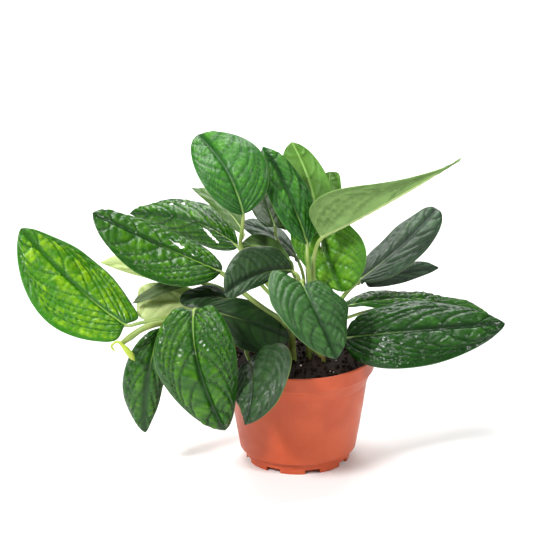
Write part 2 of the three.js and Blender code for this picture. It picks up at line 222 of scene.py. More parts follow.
# ---- Potting soil --------------------------------------------------------------------------------
# Near-black peat, pressed lightly and crumbly on top, filling the pot to just under its lip. Loose
# crumbs and a few pale grains of perlite lie on it.
soil_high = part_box("potting_soil")[1]
SOIL_RADIUS = 56.6 * MM
SOIL_DEPTH = 76 * MM
SOIL_TAPER = 0.66
SOIL_RINGS = 34
bpy.ops.mesh.primitive_circle_add(vertices=112, radius=SOIL_RADIUS, fill_type="NGON",
                                  location=(0, 0, soil_high.z - 1.2 * MM))
soil = bpy.context.object
soil.name = "peat_soil"
bpy.ops.object.mode_set(mode="EDIT")
bpy.ops.mesh.select_all(action="SELECT")
bpy.ops.mesh.extrude_region_move(TRANSFORM_OT_translate={"value": (0, 0, 0)})
bpy.ops.object.mode_set(mode="OBJECT")
bpy.ops.object.transform_apply(location=True, rotation=True, scale=True)
form = bmesh.new()
form.from_mesh(soil.data)
bmesh.ops.delete(form, geom=form.faces[:], context="FACES_ONLY")
bmesh.ops.remove_doubles(form, verts=form.verts, dist=0.01 * MM)
bmesh.ops.contextual_create(form, geom=form.edges[:])
form.to_mesh(soil.data)
form.free()
bpy.ops.object.mode_set(mode="EDIT")
bpy.ops.mesh.select_all(action="SELECT")
bpy.ops.mesh.extrude_region_move(TRANSFORM_OT_translate={"value": (0, 0, -SOIL_DEPTH)})
bpy.ops.transform.resize(value=(SOIL_TAPER, SOIL_TAPER, 1), center_override=(0, 0, 0))
bpy.ops.object.mode_set(mode="OBJECT")
top_height = max(v.co.z for v in soil.data.vertices)
for face in soil.data.polygons:
    face.select = face.normal.z > 0.9 or (len(face.vertices) > 4 and face.center.z > top_height - MM)
bpy.ops.object.mode_set(mode="EDIT")
for ring in range(SOIL_RINGS):
    bpy.ops.mesh.inset(thickness=SOIL_RADIUS / (SOIL_RINGS + 1.5))
bpy.ops.mesh.poke()
bpy.ops.mesh.select_all(action="SELECT")
bpy.ops.mesh.normals_make_consistent(inside=False)
bpy.ops.object.mode_set(mode="OBJECT")
LOOSE_TOP = "loose top"
loose_top = soil.vertex_groups.new(name=LOOSE_TOP)
for vertex in soil.data.vertices:
    reach = math.hypot(vertex.co.x, vertex.co.y) / SOIL_RADIUS
    if vertex.co.z > top_height - MM:
        loose_top.add([vertex.index], min(1.0, max(0.0, (0.995 - reach) * 12)), "REPLACE")
for grain_size, lift in ((14 * MM, 3.0 * MM), (4.5 * MM, 2.2 * MM), (2 * MM, 1.2 * MM)):
    crumbs = bpy.data.textures.new("crumbs", "CLOUDS")
    crumbs.noise_scale = grain_size
    heave = soil.modifiers.new("heave", "DISPLACE")
    heave.texture = crumbs
    heave.texture_coords = "LOCAL"
    heave.direction = "Z"
    heave.strength = lift
    heave.vertex_group = LOOSE_TOP
    bpy.context.view_layer.objects.active = soil
    bpy.ops.object.modifier_apply(modifier=heave.name)


def soil_finish():
    """Moist peat: almost black, with brown fibres, rough all over."""
    material, tree, skin = new_material("moist peat")
    where = tree.nodes.new("ShaderNodeTexCoord").outputs["Object"]
    clump = stretch(tree, noise(tree, where, 420, 6, 0.7), 0.35, 0.7)
    fibre = stretch(tree, noise(tree, where, 1500, 3), 0.6, 0.75)
    damp = colour_mix(tree, clump, (0.004, 0.002, 0.001, 1), (0.022, 0.010, 0.006, 1))
    tree.links.new(colour_mix(tree, fibre, damp, (0.075, 0.036, 0.02, 1)), skin.inputs["Base Color"])
    rough = noise(tree, where, 900, 6)
    bump = node(tree, "ShaderNodeBump", {"Strength": 1.0, "Distance": 0.9 * MM, "Height": rough})
    tree.links.new(bump.outputs[0], skin.inputs["Normal"])
    tree.links.new(stretch(tree, clump, 0, 1, 0.7, 0.95), skin.inputs["Roughness"])
    skin.inputs["Specular IOR Level"].default_value = 0.12
    return material


def scatter_grains(name, count, smallest, largest, seed):
    """Many angular grains, copied from one, lying on the soil in one piece."""
    chance = np.random.default_rng(seed)
    bpy.ops.object.select_all(action="DESELECT")
    bpy.ops.mesh.primitive_ico_sphere_add(subdivisions=1, radius=1)
    pattern = bpy.context.object
    grains = []
    for _ in range(count):
        reach = (SOIL_RADIUS - 4 * MM) * math.sqrt(chance.random())
        turn = 2 * math.pi * chance.random()
        grain = pattern.copy()
        grain.data = pattern.data.copy()
        bpy.context.collection.objects.link(grain)
        grain.location = (reach * math.cos(turn), reach * math.sin(turn), soil_high.z - chance.random() * MM)
        grain.rotation_euler = chance.random(3) * 6
        grain.scale = (smallest + (largest - smallest) * chance.random()) * (0.5 + 0.5 * chance.random(3))
        grains.append(grain)
    bpy.data.objects.remove(pattern)
    for grain in grains:
        grain.select_set(True)
    bpy.context.view_layer.objects.active = grains[0]
    bpy.ops.object.join()
    bpy.ops.object.transform_apply(location=True, rotation=True, scale=True)
    grains[0].name = name
    return grains[0]


peat = soil_finish()
fit(soil, peat, "potting_soil", "potting_soil")
fit(scatter_grains("peat_crumbs", 420, 0.7 * MM, 2.2 * MM, 3), peat, "potting_soil")
perlite, perlite_tree, perlite_skin = new_material("perlite")
grain_place = perlite_tree.nodes.new("ShaderNodeTexCoord").outputs["Object"]
dust = noise(perlite_tree, grain_place, 700)
dusty = colour_mix(perlite_tree, dust, (0.35, 0.26, 0.2, 1), (0.8, 0.74, 0.66, 1))
perlite_tree.links.new(dusty, perlite_skin.inputs["Base Color"])
perlite_skin.inputs["Roughness"].default_value = 0.9
fit(scatter_grains("perlite_grains", 34, 0.4 * MM, 0.9 * MM, 8), perlite, "potting_soil")

# ---- Stems and leaf stalks -----------------------------------------------------------------------
# Round green stems rise from the soil or creep over the lip, swollen at each node. Each leaf stalk
# grows out of a stem with a wide base and runs into the mid-rib of its blade.


def welded(name):
    """The CAD node's surface with its shared corners joined."""
    form = bmesh.new()
    form.from_mesh(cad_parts[name].data)
    bmesh.ops.remove_doubles(form, verts=form.verts, dist=0.001 * MM)
    form.verts.ensure_lookup_table()
    return form


def layers(first):
    """Corners in rings, each one edge further from the first."""
    rings, seen = [list(first)], set(first)
    while rings[-1]:
        near = {edge.other_vert(corner) for corner in rings[-1] for edge in corner.link_edges}
        rings.append(sorted(near - seen, key=lambda corner: corner.index))
        seen |= near
    return rings[:-1]


def end_cap(form):
    """The eight corners of one flat round end of a tube."""
    for start in form.faces:
        flat, waiting = {start}, [start]
        while waiting:
            beside = {face for edge in waiting.pop().edges for face in edge.link_faces} - flat
            same = [face for face in beside if face.normal.dot(start.normal) > 0.9999]
            flat.update(same)
            waiting.extend(same)
        corners = {corner for face in flat for corner in face.verts}
        middle = sum((corner.co for corner in corners), Vector()) / len(corners)
        reach = [(corner.co - middle).length for corner in corners]
        if len(corners) == 8 and max(reach) < 1.03 * min(reach):
            return sorted(corners, key=lambda corner: corner.index)
    raise ValueError("no round end")


def centre_line(name):
    """The middle of each ring of a tube, and its radius."""
    form = welded(name)
    places = []
    for ring in layers(end_cap(form)):
        middle = sum((corner.co for corner in ring), Vector()) / len(ring)
        places.append(middle)
    radius = (ring[0].co - middle).length
    form.free()
    return places, radius


def round_stem(name, places, radii):
    """A smooth closed tube through the places, with a radius at each."""
    bpy.ops.object.select_all(action="DESELECT")
    bpy.ops.curve.primitive_bezier_curve_add(location=(0, 0, 0))
    path = bpy.context.object
    path.name = name
    path.data.splines.clear()
    spline = path.data.splines.new("BEZIER")
    spline.bezier_points.add(len(places) - 1)
    for point, place, radius in zip(spline.bezier_points, places, radii):
        point.co = place
        point.radius = radius / MM
        point.handle_left_type = point.handle_right_type = "AUTO"
    path.data.bevel_depth = MM
    path.data.bevel_resolution = 5
    path.data.resolution_u = 8
    path.data.use_fill_caps = True
    bpy.ops.object.convert(target="MESH")
    bpy.ops.object.mode_set(mode="EDIT")
    bpy.ops.mesh.select_all(action="SELECT")
    bpy.ops.mesh.remove_doubles(threshold=0.01 * MM)
    bpy.ops.mesh.normals_make_consistent(inside=False)
    bpy.ops.object.mode_set(mode="OBJECT")
    bpy.ops.object.shade_smooth_by_angle(angle=math.radians(50))
    return bpy.context.object


def stalk_finish(name, young, old, flush):
    """Smooth living stem: fine lengthwise fibres, blotched colour, and a darker flush low down."""
    material, tree, skin = new_material(name)
    where = tree.nodes.new("ShaderNodeTexCoord").outputs["Object"]
    height = node(tree, "ShaderNodeSeparateXYZ", {0: where}).outputs["Z"]
    blotch = stretch(tree, noise(tree, where, 90, 5), 0.3, 0.7)
    green = colour_mix(tree, blotch, young, old)
    low_down = stretch(tree, height, 80 * MM, 118 * MM, 0.75, 0.0)
    patchy = sum_of(tree, "MULTIPLY", low_down, stretch(tree, noise(tree, where, 160), 0.45, 0.65))
    tree.links.new(colour_mix(tree, patchy, green, flush), skin.inputs["Base Color"])
    fine = node(tree, "ShaderNodeMapping", {0: where, 3: (1500, 1500, 350)})
    bump = node(tree, "ShaderNodeBump", {"Strength": 0.35, "Distance": 0.2 * MM,
                                         "Height": noise(tree, fine.outputs[0], 1.0, 4)})
    tree.links.new(bump.outputs[0], skin.inputs["Normal"])
    tree.links.new(stretch(tree, blotch, 0, 1, 0.35, 0.5), skin.inputs["Roughness"])
    skin.inputs["Subsurface Weight"].default_value = 0.15
    skin.inputs["Subsurface Radius"].default_value = (1 * MM, 1.2 * MM, 0.4 * MM)
    skin.inputs["Subsurface Scale"].default_value = 1.0
    return material


stem_material = stalk_finish(
    "main stem", young=(0.13, 0.22, 0.03, 1), old=(0.24, 0.31, 0.07, 1), flush=(0.16, 0.07, 0.03, 1))
stalk_material = stalk_finish(
    "leaf stalk", young=(0.17, 0.29, 0.04, 1), old=(0.30, 0.38, 0.11, 1), flush=(0.20, 0.12, 0.05, 1))
STEMS = ["stem_centre", "stem_right", "stem_right_low", "stem_left_vine", "root_aerial"]
stem_lines = {}
for name in STEMS:
    places, radius = centre_line(name)
    if places[0].z > places[-1].z and name != "stem_left_vine":
        places.reverse()
    if name == "stem_left_vine" and places[0].x < places[-1].x:
        places.reverse()
    stem_lines[name] = places
    foot = places[0] - Vector((0, 0, 6 * MM))
    line = [foot, *places]
    swell = [1.12 if number % 2 else 0.98 for number in range(len(line))]
    swell[-1] = 0.8
    stem = round_stem(name.replace("stem_", "main_stem_"), line, [radius * size for size in swell])
    fit(stem, stem_material, "main_stem", name)


def nearest(place, lines):
    """The closest point to a place on any of the lines, and its distance."""
    best = None
    for line in lines:
        for start, end in zip(line, line[1:]):
            along = end - start
            share = min(1.0, max(0.0, (place - start).dot(along) / along.length_squared))
            point = start + along * share
            if best is None or (point - place).length < best[1]:
                best = (point, (point - place).length)
    return best


def blade_ends(name):
    """The two end corners of a blade, where all its lengthwise lines meet."""
    form = welded(name)
    ends = [corner.co.copy() for corner in form.verts if len(corner.link_edges) == 10]
    form.free()
    return ends


def blade_net(leaf, joint):
    """The blade's top face as 11 rows of 7 places, from the joint to the tip and edge to edge."""
    form = welded("leaf_" + leaf)
    poles = [corner for corner in form.verts if len(corner.link_edges) == 10]
    poles.sort(key=lambda corner: (corner.co - joint).length)
    rows, under = [], []
    for ring in layers([poles[0]])[1:-1]:
        walk = [ring[0]]
        while len(walk) < len(ring):
            beside = [edge.other_vert(walk[-1]) for edge in walk[-1].link_edges]
            beside.sort(key=lambda corner: corner.index)
            walk.append(next(corner for corner in beside if corner in ring and corner not in walk))
        places = [np.array(corner.co) for corner in walk]
        start = max(range(10), key=lambda k: np.linalg.norm(places[k] - places[(k + 6) % 10]))
        rows.append([places[(start + k) % 10] for k in range(7)])
        under.append(places[(start + 8) % 10])
    for before, row in zip(rows, rows[1:]):
        if np.linalg.norm(row[0] - before[0]) > np.linalg.norm(row[6] - before[0]):
            row.reverse()
    middle = rows[4]
    upward = np.cross(middle[6] - middle[0], rows[5][3] - middle[3])
    if np.dot(upward, middle[3] - under[4]) < 0:
        for row in rows:
            row.reverse()
    net = np.array([[np.array(poles[0].co)] * 7, *rows, [np.array(poles[-1].co)] * 7])
    form.free()
    return net


BLADE_ROWS = 10
LEAVES = [name.removeprefix("leaf_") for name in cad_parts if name.startswith("leaf_")]
stalk_lines = {}
stalk_radii = {}
for leaf in LEAVES:
    if "petiole_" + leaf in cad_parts:
        stalk_lines[leaf], stalk_radii[leaf] = centre_line("petiole_" + leaf)
nets = {}
for leaf in LEAVES:
    ends = blade_ends("leaf_" + leaf)
    carriers = [stalk_lines[leaf]] if leaf in stalk_lines else [*stem_lines.values(), *stalk_lines.values()]
    ends.sort(key=lambda end: nearest(end, carriers)[1])
    joint = ends[0]
    nets[leaf] = blade_net(leaf, joint)
    first, second = nets[leaf][1], nets[leaf][2]
    upward = Vector(np.cross(second[6] - second[0], second[3] - first[3])).normalized()
    if leaf in stalk_lines:
        line = stalk_lines[leaf]
        if (line[0] - joint).length > (line[-1] - joint).length:
            line.reverse()
        root, gap = nearest(line[-1], stem_lines.values())
        if gap > 12 * MM:
            others = [line for other, line in stalk_lines.items() if other != leaf]
            root, gap = nearest(line[-1], [*stem_lines.values(), *others])
        radius = stalk_radii[leaf]
        names = ["petiole_" + leaf]
    else:
        root, gap = nearest(joint, carriers)
        line = [joint * 0.8 + root * 0.2, joint * 0.5 + root * 0.5 - Vector((0, 0, 1.5 * MM))]
        radius = 1.3 * MM
        names = []
    if gap > 25 * MM:
        raise ValueError(f"the stalk of {leaf} reaches no stem")
    below = upward * (0.75 * radius)
    into_rib = Vector(first[3] * 0.5 + second[3] * 0.5) - below * 0.7
    route = [into_rib, joint - below, *line[1:], root]
    sizes = [0.4, 0.85] + [0.92] * (len(route) - 4) + [1.15, 1.3]
    stalk = round_stem("stalk_" + leaf, route, [radius * size for size in sizes])
    fit(stalk, stalk_material, "leaf_stalk", *names)

# ---- Young shoot ---------------------------------------------------------------------------------
# The vine ends in a new leaf that is still rolled up, bright yellow-green, and hooked at its end.
form = welded("new_shoot")
shoot_ends = sorted((corner for corner in form.verts if len(corner.link_edges) == 8), key=lambda c: -c.co.z)
shoot_rings = layers([shoot_ends[0]])
shoot_line = []
shoot_radii = []
for ring in shoot_rings:
    middle = sum((corner.co for corner in ring), Vector()) / len(ring)
    shoot_line.append(middle)
    shoot_radii.append(max(0.35 * MM, (ring[0].co - middle).length))
form.free()
shoot = round_stem("rolled_leaf", shoot_line, shoot_radii)
shoot_material = stalk_finish(
    "young leaf", young=(0.27, 0.40, 0.02, 1), old=(0.42, 0.50, 0.05, 1), flush=(0.4, 0.4, 0.08, 1))
fit(shoot, shoot_material, "young_shoot", "new_shoot")

# ---- Blades: how every leaf is shaped ------------------------------------------------------------
# Each blade is one thin leathery skin. It is quilted between arched side veins, which lie sunken in
# its upper face and stand out below, round a stout mid-rib that thins out towards the tip.
GRID = 1.05 * MM
THICKNESS = 0.6 * MM
VEIN_HALF = 0.5 * MM
BANK = 2.6 * MM


def on_net(net, station, across):
    """Places on the smooth surface through the net: station runs 0 to 10, across -1 to 1."""
    row = np.clip(np.floor(station).astype(int), 0, BLADE_ROWS - 1)
    part = (station - row)[..., None, None]
    longer = np.concatenate([[2 * net[0] - net[1]], net, [2 * net[-1] - net[-2]]])
    a, b, c, d = (longer[row + step] for step in range(4))
    line = b + 0.5 * part * (c - a + part * (2 * a - 5 * b + 4 * c - d + part * (3 * (b - c) + d - a)))
    side = np.abs(across)[..., None] * 3
    weights = [
        (1 - side) * (2 - side) * (3 - side) / 6, side * (2 - side) * (3 - side) / 2,
        side * (side - 1) * (3 - side) / 2, side * (side - 1) * (side - 2) / 6,
    ]
    left = sum(weight * line[..., 3 - k, :] for k, weight in enumerate(weights))
    right = sum(weight * line[..., 3 + k, :] for k, weight in enumerate(weights))
    return np.where(across[..., None] < 0, left, right)


def eased(value, low, high):
    """0 below low, 1 above high, smooth between."""
    share = np.clip((value - low) / (high - low), 0, 1)
    return share * share * (3 - 2 * share)


def unit(vectors):
    """Vectors made one long."""
    return vectors / np.maximum(np.linalg.norm(vectors, axis=-1, keepdims=True), 1e-12)


def open_slits(station, across, slits, length, half_width):
    """Moves grid points onto the rims of the slits and says which points lie in or on them.
    A slit is (share of the length, share across, half length mm, half width mm, turn in degrees)."""
    inside = np.zeros(station.shape, bool)
    for place, offset, long_half, short_half, turn in slits:
        share = (1 - np.cos(math.pi * station / BLADE_ROWS)) / 2
        width = np.interp(place, *half_width)
        forward, sideways = (share - place) * length, (across - offset) * width
        cosine, sine = math.cos(math.radians(turn)), math.sin(math.radians(turn))
        x = (forward * cosine + sideways * sine) / (long_half * MM)
        y = (sideways * cosine - forward * sine) / (short_half * MM)
        deep = np.hypot(x, y) < 1
        outside = ~deep
        beside = np.zeros_like(deep)
        beside[1:] |= outside[:-1]
        beside[:-1] |= outside[1:]
        beside[:, 1:] |= outside[:, :-1]
        beside[:, :-1] |= outside[:, 1:]
        rim = deep & beside
        reach = np.maximum(np.hypot(x, y), 0.05)
        x, y = (np.where(rim, value / reach, value) for value in (x, y))
        x, y = x * long_half * MM, y * short_half * MM
        forward, sideways = x * cosine - y * sine, x * sine + y * cosine
        share = np.clip(place + forward / length, 0, 1)
        station = np.where(rim, BLADE_ROWS / math.pi * np.arccos(1 - 2 * share), station)
        across = np.where(rim, offset + sideways / width, across)
        inside |= deep
    return station, across, inside


def grow_blade(leaf, material, slot, seed, ribs=4, cell=6.5, quilt=0.8, wave=1.0, lean=1.0, slits=()):
    """Makes one blade on its net. ribs are the side veins on each half, cell the length of a quilted
    bulge in mm, quilt its height in mm, wave the swing of the edges in mm and lean how far forward
    the side veins sweep."""
    net = nets[leaf]
    chance = np.random.default_rng(seed)
    length = np.linalg.norm(np.diff(net[:, 3], axis=0), axis=1).sum()
    stations = (1 - np.cos(math.pi * np.arange(BLADE_ROWS + 1) / BLADE_ROWS)) / 2
    widths = np.linalg.norm(net[:, 6] - net[:, 0], axis=1) / 2
    half_width = (stations, np.maximum(widths, MM))
    steps_along = int(np.clip(length / GRID, 40, 120))
    steps_across = 2 * int(np.clip(widths.max() / GRID, 12, 42))
    spread = np.linspace(-1, 1, steps_across + 1)
    station, across = np.meshgrid(np.linspace(0, BLADE_ROWS, steps_along + 1),
                                  np.sign(spread) * np.abs(spread) ** 1.15, indexing="ij")
    station, across, inside = open_slits(station, across, slits, length, half_width)
    top = on_net(net, station, across)
    share = (1 - np.cos(math.pi * station / BLADE_ROWS)) / 2
    edge = np.abs(across)
    out = edge * np.interp(share, *half_width)

    # Edges swing up and down, and the whole blade ripples a little.
    step_along, step_across = np.gradient(top, axis=0), np.gradient(top, axis=1)
    upward = unit(np.cross(step_across, step_along))
    upward[0], upward[-1] = upward[1].mean(axis=0), upward[-2].mean(axis=0)
    upward = unit(upward)
    side = across > 0
    swings = np.where(side, chance.uniform(1.6, 2.8), chance.uniform(1.6, 2.8))
    phase = np.where(side, chance.uniform(0, 6), chance.uniform(0, 6))
    calm = eased(share, 0.0, 0.15) * (1 - eased(share, 0.9, 1.0))
    swing = wave * MM * edge ** 2.5 * calm * np.sin(2 * math.pi * swings * share + phase)
    top = top + upward * swing[..., None]

    # Side veins leave the mid-rib at a slant and bend towards the tip before they reach the edge.
    sweep = lean * (0.34 * edge + 0.34 * edge ** 3)
    start = (share - sweep) / np.maximum(1 - sweep, 0.05)
    in_base = 1.5 * start / np.maximum(sweep, 0.05)
    vein_row = np.where(start >= 0, ribs * np.maximum(start, 0) ** 0.8 * 1.15, in_base)
    vein_row = np.maximum(vein_row, -2.9)
    pace_along = np.abs(np.gradient(vein_row, axis=0)) / np.maximum(np.linalg.norm(step_along, axis=-1), 1e-6)
    pace_across = np.abs(np.gradient(vein_row, axis=1))
    pace_across = pace_across / np.maximum(np.linalg.norm(step_across, axis=-1), 1e-6)
    pace = np.maximum(np.hypot(pace_along, pace_across), 4.0)
    between = vein_row - np.floor(vein_row)
    aside = np.minimum(between, 1 - between) / pace
    inner = 1 - eased(edge, 0.86, 0.97)
    off_ends = eased(share, 0.0, 0.05) * (1 - eased(share, 0.93, 1.0))
    vein = np.exp(-(aside / VEIN_HALF) ** 2) * inner * off_ends
    bank = np.clip(aside / BANK, 0, 1)
    pillow = np.sqrt(bank * (2 - bank))

    # Bulges follow one another along each row, each of its own height.
    row_number = np.floor(vein_row).astype(int) + 3 + 20 * side
    along_row = (share * length + 0.55 * out) / (cell * MM)
    along_row = along_row + chance.uniform(0, 1, 64)[row_number] + 0.22 * np.sin(out / (3.1 * MM) + seed)
    in_cell = along_row - np.floor(along_row)
    dome = np.sqrt(np.clip(1 - np.abs(2 * in_cell - 1) ** 2.2, 0, 1))
    heights = chance.uniform(0.6, 1.15, 4096)
    cell_number = row_number * 97 + np.floor(along_row).astype(int)
    into_next = eased(in_cell, 0.5, 1.0)
    this_height, next_height = heights[cell_number % 4096], heights[(cell_number + 1) % 4096]
    own_height = this_height * (1 - into_next) + next_height * into_next
    near_rib = eased(out, 0.6 * MM, 4 * MM)
    rise = pillow * (0.32 + 0.68 * dome) * own_height * inner * off_ends * near_rib
    fine = np.sin(out / (0.9 * MM) + 5 * share) * np.sin(share * length / (1.3 * MM) + 3 * edge)
    relief = quilt * (1.7 * rise + 0.12 * fine * pillow * inner * off_ends) - 0.5 * vein

    rib_half = (1.5 - 1.0 * share) * MM
    rib = np.exp(-(out / rib_half) ** 2)
    thinning = 1 - eased(share, 0.75, 1.0)
    thick = THICKNESS * (1 - 0.55 * edge ** 3)
    under_relief = relief - 0.3 * vein - 1.0 * rib * (0.35 + 0.65 * thinning) * off_ends
    under = top + upward * (under_relief * MM - thick)[..., None]
    top = top + upward * ((relief - 0.35 * rib * off_ends) * MM)[..., None]

    count_along, count_across = station.shape
    total = count_along * count_across
    number = np.arange(total).reshape(station.shape)
    square = np.stack([number[:-1, :-1], number[:-1, 1:], number[1:, 1:], number[1:, :-1]], axis=-1)
    gone = inside.ravel()[square].all(axis=-1)
    faces = square[~gone].tolist()
    beside = [pair for corners in faces for pair in zip(corners, corners[1:] + corners[:1])]
    known = set(beside)
    poles = {(number[0, k], number[0, k + 1]) for k in range(count_across - 1)}
    poles |= {(number[-1, k + 1], number[-1, k]) for k in range(count_across - 1)}
    walls = [
        [second, first, first + total, second + total]
        for first, second in beside if (second, first) not in known and (first, second) not in poles
    ]
    lower = [[corner + total for corner in reversed(corners)] for corners in faces]
    mesh = bpy.data.meshes.new("blade_" + leaf)
    mesh.from_pydata(np.concatenate([top.reshape(-1, 3), under.reshape(-1, 3)]).tolist(), [],
                     faces + lower + walls)
    traits = {
        "rise": rise, "vein": vein, "rib": np.exp(-(out / (0.5 * rib_half)) ** 2),
        "edge": edge, "along": share,
    }
    for trait, values in traits.items():
        both = np.concatenate([values.ravel(), values.ravel()]).astype(np.float32)
        mesh.attributes.new(trait, "FLOAT", "POINT").data.foreach_set("value", both)
    below = np.repeat(np.array([0.0, 1.0], np.float32), total)
    mesh.attributes.new("below", "FLOAT", "POINT").data.foreach_set("value", below)
    blade = bpy.data.objects.new("blade_" + leaf, mesh)
    bpy.context.collection.objects.link(blade)
    form = bmesh.new()
    form.from_mesh(mesh)
    bmesh.ops.remove_doubles(form, verts=form.verts, dist=0.005 * MM)
    bmesh.ops.delete(form, geom=[corner for corner in form.verts if not corner.link_faces], context="VERTS")
    bmesh.ops.triangulate(form, faces=[face for face in form.faces if len(face.verts) > 4])
    bmesh.ops.recalc_face_normals(form, faces=form.faces)
    form.to_mesh(mesh)
    form.free()
    mesh.shade_smooth()
    fit(blade, material, slot, "leaf_" + leaf)
    return blade


def leaf_skin_group():
    """Shared by all leaf finishes: turns the blade's own traits into colour, roughness and height."""
    tree = bpy.data.node_groups.new("leaf skin", "ShaderNodeTree")
    for socket in ("Blade", "Bright", "Groove", "Rib", "Margin", "Below"):
        tree.interface.new_socket(socket, in_out="INPUT", socket_type="NodeSocketColor")
    for socket in ("Painted light share", "Gloss"):
        tree.interface.new_socket(socket, in_out="INPUT", socket_type="NodeSocketFloat")
    tree.interface.new_socket("Color", in_out="OUTPUT", socket_type="NodeSocketColor")
    tree.interface.new_socket("Roughness", in_out="OUTPUT", socket_type="NodeSocketFloat")
    tree.interface.new_socket("Height", in_out="OUTPUT", socket_type="NodeSocketFloat")
    given = tree.nodes.new("NodeGroupInput").outputs
    result = tree.nodes.new("NodeGroupOutput")
    trait = {
        name: node(tree, "ShaderNodeAttribute", attribute_name=name).outputs["Fac"]
        for name in ("rise", "vein", "rib", "edge", "along", "below")
    }
    where = tree.nodes.new("ShaderNodeTexCoord").outputs["Object"]
    # Painted light: the raised tops of the bulges are painted in the bright colour, in noisy patches, more or
    # less strongly for each leaf.
    cloudy = stretch(tree, noise(tree, where, 95, 5), 0.36, 0.66)
    raised = stretch(tree, trait["rise"], 0.25, 0.95)
    bright = sum_of(tree, "MULTIPLY", sum_of(tree, "MULTIPLY", raised, cloudy), given["Painted light share"])
    colour = colour_mix(tree, bright, given["Blade"], given["Bright"])
    net_lines = node(tree, "ShaderNodeTexVoronoi", {"Vector": where, "Scale": 520, "Randomness": 0.9},
                     feature="DISTANCE_TO_EDGE").outputs["Distance"]
    netting = stretch(tree, net_lines, 0.0, 0.12)
    fine_dark = sum_of(tree, "MULTIPLY", sum_of(tree, "SUBTRACT", 1.0, netting), 0.22)
    colour = colour_mix(tree, fine_dark, colour, given["Groove"])
    # Painted shade: the hollows between the bulges and the sunken side veins are darkened with the groove
    # colour.
    painted_hollow_shade = sum_of(tree, "MULTIPLY", stretch(tree, trait["rise"], 0.5, 0.0), 0.7)
    colour = colour_mix(tree, painted_hollow_shade, colour, given["Groove"])
    colour = colour_mix(tree, sum_of(tree, "MULTIPLY", trait["vein"], 0.75), colour, given["Groove"])
    band = sum_of(tree, "MULTIPLY", stretch(tree, trait["edge"], 0.8, 0.93), 0.5)
    colour = colour_mix(tree, band, colour, given["Blade"])
    colour = colour_mix(tree, stretch(tree, trait["edge"], 0.972, 0.995), colour, given["Margin"])
    # Painted shade along the sunken mid-rib in the groove colour; near the stalk the rib then turns pale.
    on_rib = stretch(tree, trait["rib"], 0.3, 0.75)
    colour = colour_mix(tree, sum_of(tree, "MULTIPLY", on_rib, 0.6), colour, given["Groove"])
    ribbed = sum_of(tree, "MULTIPLY", on_rib, stretch(tree, trait["along"], 0.55, 0.1, 0.0, 0.9))
    colour = colour_mix(tree, ribbed, colour, given["Rib"])
    shade = stretch(tree, noise(tree, where, 38, 3), 0.3, 0.7, 0.0, 0.35)
    colour = colour_mix(tree, shade, colour, given["Blade"])
    pale = colour_mix(tree, sum_of(tree, "MULTIPLY", cloudy, 0.3), given["Below"], given["Blade"])
    pale = colour_mix(tree, sum_of(tree, "MULTIPLY", trait["vein"], 0.55), pale, given["Blade"])
    whole_rib = sum_of(tree, "MULTIPLY", on_rib, stretch(tree, trait["along"], 1.0, 0.4, 0.4, 1.0))
    pale = colour_mix(tree, whole_rib, pale, given["Rib"])
    colour = colour_mix(tree, trait["below"], colour, pale)
    tree.links.new(colour, result.inputs["Color"])
    uneven = stretch(tree, noise(tree, where, 240, 4), 0.3, 0.75, -0.05, 0.12)
    rough = sum_of(tree, "ADD", given["Gloss"], uneven)
    rough = sum_of(tree, "ADD", rough, sum_of(tree, "MULTIPLY", trait["below"], 0.25))
    tree.links.new(rough, result.inputs["Roughness"])
    pores = noise(tree, where, 2400, 2)
    pores = sum_of(tree, "MULTIPLY", pores, 0.3)
    height = sum_of(tree, "ADD", sum_of(tree, "MULTIPLY", netting, 0.7), pores)
    tree.links.new(height, result.inputs["Height"])
    return tree


leaf_skin = leaf_skin_group()


def leaf_finish(name, blade, bright, groove, rib, margin, below, painted_light_share=0.6, gloss=0.25, glow=0.2):
    """A waxy leaf material. gloss is its roughness and glow is how much light soaks through. The bright
    colour is painted light on the bulge tops, and the groove colour is partly painted shade in the sunken
    veins and hollows.
    """
    material, tree, skin = new_material(name)
    colours = {
        "Blade": blade, "Bright": bright, "Groove": groove, "Rib": rib, "Margin": margin, "Below": below,
    }
    values = {socket: (*colour, 1) for socket, colour in colours.items()}
    group = node(tree, "ShaderNodeGroup", node_tree=leaf_skin)
    for socket, value in {**values, "Painted light share": painted_light_share, "Gloss": gloss}.items():
        group.inputs[socket].default_value = value
    tree.links.new(group.outputs["Color"], skin.inputs["Base Color"])
    tree.links.new(group.outputs["Roughness"], skin.inputs["Roughness"])
    netting = {"Strength": 0.6, "Distance": 0.16 * MM, "Height": group.outputs["Height"]}
    bump = node(tree, "ShaderNodeBump", netting)
    tree.links.new(bump.outputs[0], skin.inputs["Normal"])
    skin.inputs["IOR"].default_value = 1.45
    skin.inputs["Specular IOR Level"].default_value = 0.4
    skin.inputs["Subsurface Weight"].default_value = glow
    skin.inputs["Subsurface Radius"].default_value = (0.7 * MM, 1.2 * MM, 0.25 * MM)
    skin.inputs["Subsurface Scale"].default_value = 1.0
    return material


